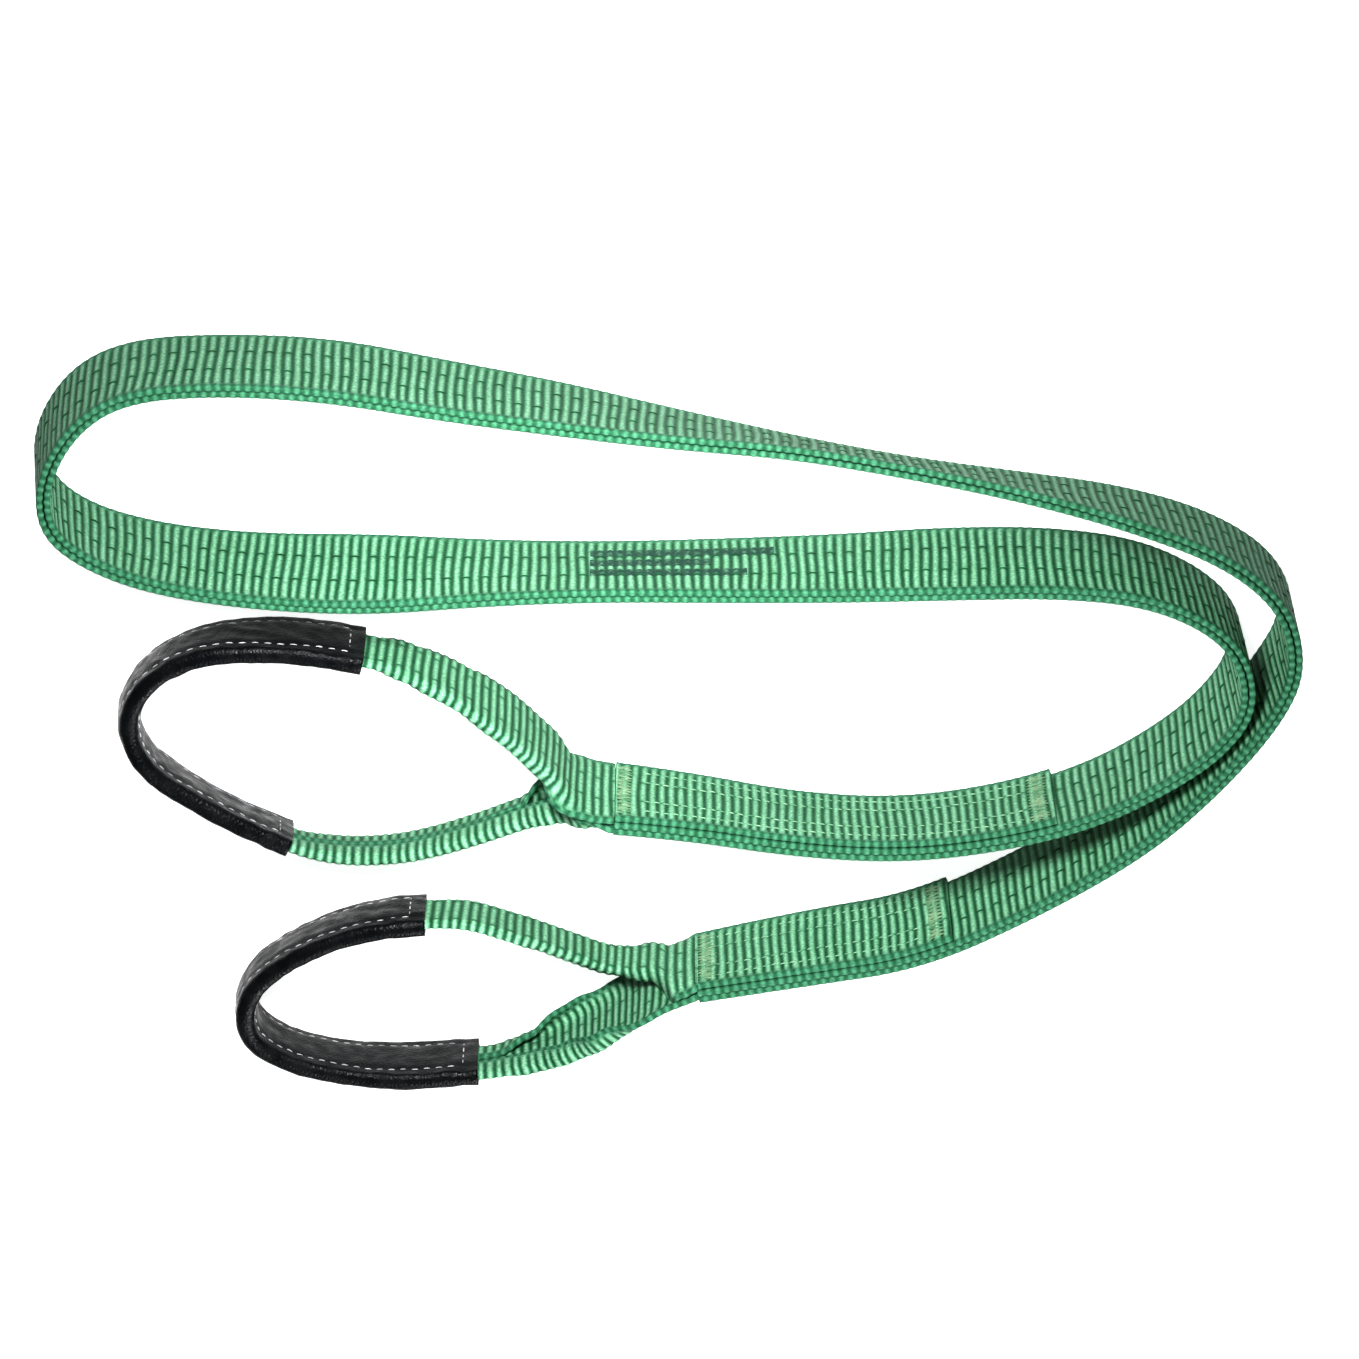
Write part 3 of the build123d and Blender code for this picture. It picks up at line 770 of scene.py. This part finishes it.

# ---- the eyes --------------------------------------------------------------------------------------
# Each eye lists the body it swings on, and two places of blend between that body and the eye's own
# webbing.
EYES = {
    "1": {
        "upper": UPPER_LEG_1, "bight": BIGHT_1, "lower": LOWER_LEG_1, "swings_on": "main_body",
        "blend": ((-18, -44.5), (-45, -44.5)),
        # From the upper throat, and back from the lower one: mm along, how open the lower and
        # the upper fold are, the width of their flaps, and the height off the floor, in mm.
        "from_upper": [(0, 1, 1, 3, 3, 0), (12, 0.9, 0.9, 3, 3, 0), (32, 0.15, 0.12, 5, 6, 0),
                       (62, 0, 0, 5.2, 5.6, 0), (88, 0, 0, 8.2, 8.2, 0),
                       (120, 0, 0, 12.4, 12.4, 0)],
        "from_lower": [(0, 1, 1, 3, 3, 0), (10, 0.8, 0.6, 4, 5, 0), (26, 0.25, 0.1, 9, 11, 0),
                       (40, 0.02, 0.0, 12.6, 12.8, 0), (62, 0, 0, 12.6, 12.8, 0),
                       (98, 0, 0, 12.4, 12.4, 0)],
    },
    "2": {
        "upper": UPPER_LEG_2, "bight": BIGHT_2, "lower": LOWER_LEG_2, "swings_on": "free_strand",
        "blend": ((13, -127), (-25, -127)),
        "from_upper": [(0, 1, 1, 3, 3, 0), (7, 0.8, 0.8, 4, 4, 0), (22, 0.1, 0.1, 11, 12, 1),
                       (34, 0, 0, 14.3, 14.3, 0), (66, 0, 0, 14, 14, 0),
                       (84, 0, 0, 12.4, 12.4, 0)],
        "from_lower": [(0, 1, 1, 3, 3, 0), (20, 0.95, 0.85, 3, 3.5, 0), (44, 0.66, 0.4, 5, 7, 0),
                       (66, 0.34, 0.14, 7, 8.5, 0), (84, 0.1, 0.03, 9.8, 10.8, 0),
                       (99, 0, 0, 11.6, 12, 0), (122, 0, 0, 12.4, 12.4, 0)],
    },
}


def sleeve_half(height):
    """Half a sleeve's thickness up its side: full between its seams, thin at the hems."""
    from_edge = np.minimum(height, SLEEVE_HEIGHT - height)
    hem = smoothstep((from_edge - 2.0 * MM) / (7.0 * MM))
    rounded = np.sqrt(np.clip(1 - (1 - np.clip(from_edge / (2.2 * MM), 0, 1)) ** 2, 0, 1))
    seam = np.exp(-(((from_edge - SLEEVE_ROWS[0]) / (1.2 * MM)) ** 2))
    return rounded * (HEM_HALF + (SLEEVE_HALF - HEM_HALF) * hem) - 0.3 * MM * seam


def wrinkles(points, lengths, heights):
    """How far the leather stands in or out, at each point."""
    flat = points.reshape(-1, 3)
    raised = np.empty(len(flat))
    for i, (p, s, h) in enumerate(zip(flat, lengths.ravel(), heights.ravel())):
        creases = noise.noise((s / (11 * MM) + h / (16 * MM), h / (7 * MM), p[1] / (60 * MM)))
        folds = noise.noise((s / (4.5 * MM), h / (9 * MM) + 7.0, p[0] / (40 * MM)))
        raised[i] = 0.75 * MM * (0.35 - abs(creases)) + 0.35 * MM * folds
    return raised.reshape(points.shape[:2])


def leather_out(route, lengths, heights, hand):
    """How far a sleeve's outer face is from the route's middle, wrinkles and all."""
    fullest = sleeve_half(heights)
    plain = route.points(lengths, heights, hand * fullest)
    hems = np.exp(-((np.minimum(heights, SLEEVE_HEIGHT - heights) / (1.5 * MM)) ** 2))
    raised = wrinkles(plain, lengths, heights) * (1 - 0.8 * hems)
    return np.maximum(fullest + raised, 0.92 * fullest)


def wear_sleeve(name, route, start, end):
    """A flat leather tube round the webbing, open at both ends."""
    lengths = np.linspace(start, end, round((end - start) / (1.0 * MM)) + 1)
    heights = SLEEVE_HEIGHT * (0.5 - 0.5 * np.cos(np.linspace(0, math.pi, SLEEVE_COLUMNS)))
    heights = np.concatenate([heights, heights[1:-1][::-1]])
    side = np.concatenate([np.ones(SLEEVE_COLUMNS), -np.ones(SLEEVE_COLUMNS - 2)])
    length_grid, height_grid = np.meshgrid(lengths, heights, indexing="ij")
    near_end = np.minimum(length_grid - start, end - length_grid)
    outer = leather_out(route, length_grid, height_grid, side)
    # The hems wander a little up and down.
    wander = 0.45 * MM * np.sin(length_grid / (9 * MM)) * np.sin(length_grid / (23 * MM) + 2)
    top = smoothstep(height_grid / SLEEVE_HEIGHT)
    standing = height_grid + wander * top - 0.3 * MM * top * np.exp(-near_end / (3 * MM))
    outside = route.points(length_grid, standing, side * outer)
    inner_height = SLEEVE_WALL + height_grid * (1 - 2 * SLEEVE_WALL / SLEEVE_HEIGHT)
    inner = np.maximum(outer - SLEEVE_WALL, 0.05 * MM)
    inside = route.points(length_grid, inner_height, side * inner)
    rows, around = length_grid.shape
    walls = tube_faces(rows, around, closed_ends=False)
    count = rows * around
    i = np.arange(around)
    after = (i + 1) % around
    # The rims join the outer and the inner wall at both ends.
    rims = [np.stack([i, i + count, after + count, after], axis=-1)]
    last = (rows - 1) * around
    rims.append(np.stack([after, after + count, i + count, i], axis=-1) + last)
    faces = np.concatenate([walls, walls[:, ::-1] + count, *rims])
    points = np.concatenate([outside.reshape(-1, 3), inside.reshape(-1, 3)])
    return mesh_object(name, points, faces)


def sleeve_face(route, lengths, heights, hand):
    """Points on a sleeve's outer face, and the way out of it."""
    normal = route.lines(lengths)[2]
    out = leather_out(route, lengths[:, None], heights[:, None], hand)[:, 0] - SLEEVE_DIVE
    return route.points(lengths, heights, hand * out), normal * hand


def sleeve_stitches(route, start, end):
    """Two rows of stitches on each side of a sleeve, closed by a short row near each end."""
    parts = []
    first_place, last_place = start + SLEEVE_END, end - SLEEVE_END
    for hand in (1.0, -1.0):
        for height in SLEEVE_ROWS:
            begins = np.arange(first_place, last_place - DASH, DASH_PITCH)
            wander = height + random.normal(0, 0.15 * MM, len(begins))
            first, normals = sleeve_face(route, begins, wander, hand)
            second, _ = sleeve_face(route, begins + DASH, wander, hand)
            parts.append((first, second, normals))
        heights = np.arange(SLEEVE_ROWS[0], SLEEVE_ROWS[1] - DASH, DASH_PITCH)
        for place in (first_place, last_place):
            lengths = np.full(heights.shape, place)
            first, normals = sleeve_face(route, lengths, heights, hand)
            second, _ = sleeve_face(route, lengths, heights + DASH, hand)
            parts.append((first, second, normals))
    return parts


for eye, made in EYES.items():
    route = Route(made["upper"] + made["bight"] + made["lower"][::-1])
    first = len(made["upper"])
    sleeve = [route.length_at(first + place) for place in SLEEVE_ENDS[eye]]
    openings = [(at * MM, low, high, *(size * MM for size in sizes))
                for at, low, high, *sizes in made["from_upper"]]
    openings += [(route.length - at * MM, low, high, *(size * MM for size in sizes))
                 for at, low, high, *sizes in made["from_lower"][::-1]]
    piece = eye_webbing(f"eye_{eye}_webbing", route, openings, sleeve)
    finish_piece(piece, GREEN, None, "green_webbing", f"eye_{eye}_upper_leg",
                 f"eye_{eye}_bight", f"eye_{eye}_lower_leg")
    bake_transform(piece)
    leather = wear_sleeve(f"leather_sleeve_{eye}", route, *sleeve)
    finish_piece(leather, LEATHER, f"eye_{eye}", "sleeve_leather", f"wear_sleeve_{eye}")
    stitched(f"sleeve_seams_{eye}", sleeve_stitches(route, *sleeve), SLEEVE_STITCH,
             WHITE_THREAD, f"eye_{eye}", "white_thread", f"sleeve_stitching_{eye}")

# ---- the floor, the light and the camera --------------------------------------------------------------
FLOOR_GLOW = 0.9
WORLD_LIGHT = 0.12


def make_floor():
    """A plain pale floor, with a soft mottle that hardly shows.

    It glows, so that it stays white beyond the lights, and only the sling's gloss reflects it.
    """
    count, reach = 24, 6.0
    lines = np.linspace(-reach, reach, count + 1)
    x, y = np.meshgrid(lines, lines, indexing="ij")
    points = np.stack([x, y, np.full(x.shape, -0.05 * MM)], axis=-1).reshape(-1, 3)
    mesh = bpy.data.meshes.new("floor")
    faces = [(i * (count + 1) + j, (i + 1) * (count + 1) + j, (i + 1) * (count + 1) + j + 1,
              i * (count + 1) + j + 1) for i in range(count) for j in range(count)]
    mesh.from_pydata([tuple(p) for p in points], [], faces)
    floor = bpy.data.objects.new("floor", mesh)
    bpy.context.scene.collection.objects.link(floor)
    material, shader, add, links = new_material("pale_floor", 0.9, 0.1)
    shader.inputs["Emission Color"].default_value = (1, 1, 1, 1)
    shader.inputs["Emission Strength"].default_value = FLOOR_GLOW
    place = add("ShaderNodeTexCoord").outputs["Object"]
    mottle = add("ShaderNodeTexNoise", {"Vector": place, "Scale": 3.0})
    links.new(ramp(add, mottle.outputs["Fac"], [(0.3, (0.78,) * 3), (0.7, (0.80,) * 3)]),
              shader.inputs["Base Color"])
    mesh.materials.append(material)
    floor.visible_diffuse = False


def make_world():
    """A faint, even light from all round."""
    world = bpy.data.worlds.new("studio")
    world.use_nodes = True
    background = world.node_tree.nodes["Background"]
    background.inputs["Color"].default_value = (1, 1, 1, 1)
    background.inputs["Strength"].default_value = WORLD_LIGHT
    bpy.context.scene.world = world


def area_light(name, place, target, size, power, spread=180):
    """A soft square light that points at a target, its beam as wide as the spread in degrees."""
    light = bpy.data.lights.new(name, "AREA")
    light.shape = "SQUARE"
    light.size = size
    light.energy = power
    light.spread = math.radians(spread)
    holder = bpy.data.objects.new(name, light)
    holder.location = place
    holder.rotation_euler = (Vector(target) - Vector(place)).to_track_quat("-Z", "Y").to_euler()
    bpy.context.scene.collection.objects.link(holder)


ELEVATION = math.radians(58.0)
DISTANCE = 2.5
SENSOR = 36.0                       # mm
FOCAL = 165.6                       # mm
AIM = Vector((-0.002, 0.011, 0.020))
AIM_SHIFT = (0.0114, 0.0195)        # the aim's place in the picture, in picture widths
RIGHT = Vector((1, 0, 0))
UP = Vector((0, math.sin(ELEVATION), -math.cos(ELEVATION)))
BACK = Vector((0, math.cos(ELEVATION), math.sin(ELEVATION)))


def make_camera():
    """A camera that looks down at the sling from its +Y side."""
    camera = bpy.data.cameras.new("camera")
    camera.sensor_width = SENSOR
    camera.lens = FOCAL
    camera.shift_x, camera.shift_y = AIM_SHIFT
    camera.dof.use_dof = False
    holder = bpy.data.objects.new("camera", camera)
    turn = Matrix((RIGHT, UP, BACK)).transposed().to_4x4()
    holder.matrix_world = Matrix.Translation(AIM + BACK * DISTANCE) @ turn
    bpy.context.scene.collection.objects.link(holder)
    bpy.context.scene.camera = holder


make_floor()
# The key's narrow beam falls off towards the sling's two ends.
area_light("key", (-0.06, 0.55, 0.62), (-0.02, 0.03, 0), 0.18, 1.9, spread=60)
# This one lights the side that faces away from the camera.
area_light("back", (0.25, -0.85, 0.65), (0, 0, 0), 0.5, 13.0)
make_world()
bpy.context.scene.view_settings.view_transform = "Standard"
bpy.context.scene.view_settings.gamma = 0.85    # deepens the darks
make_camera()
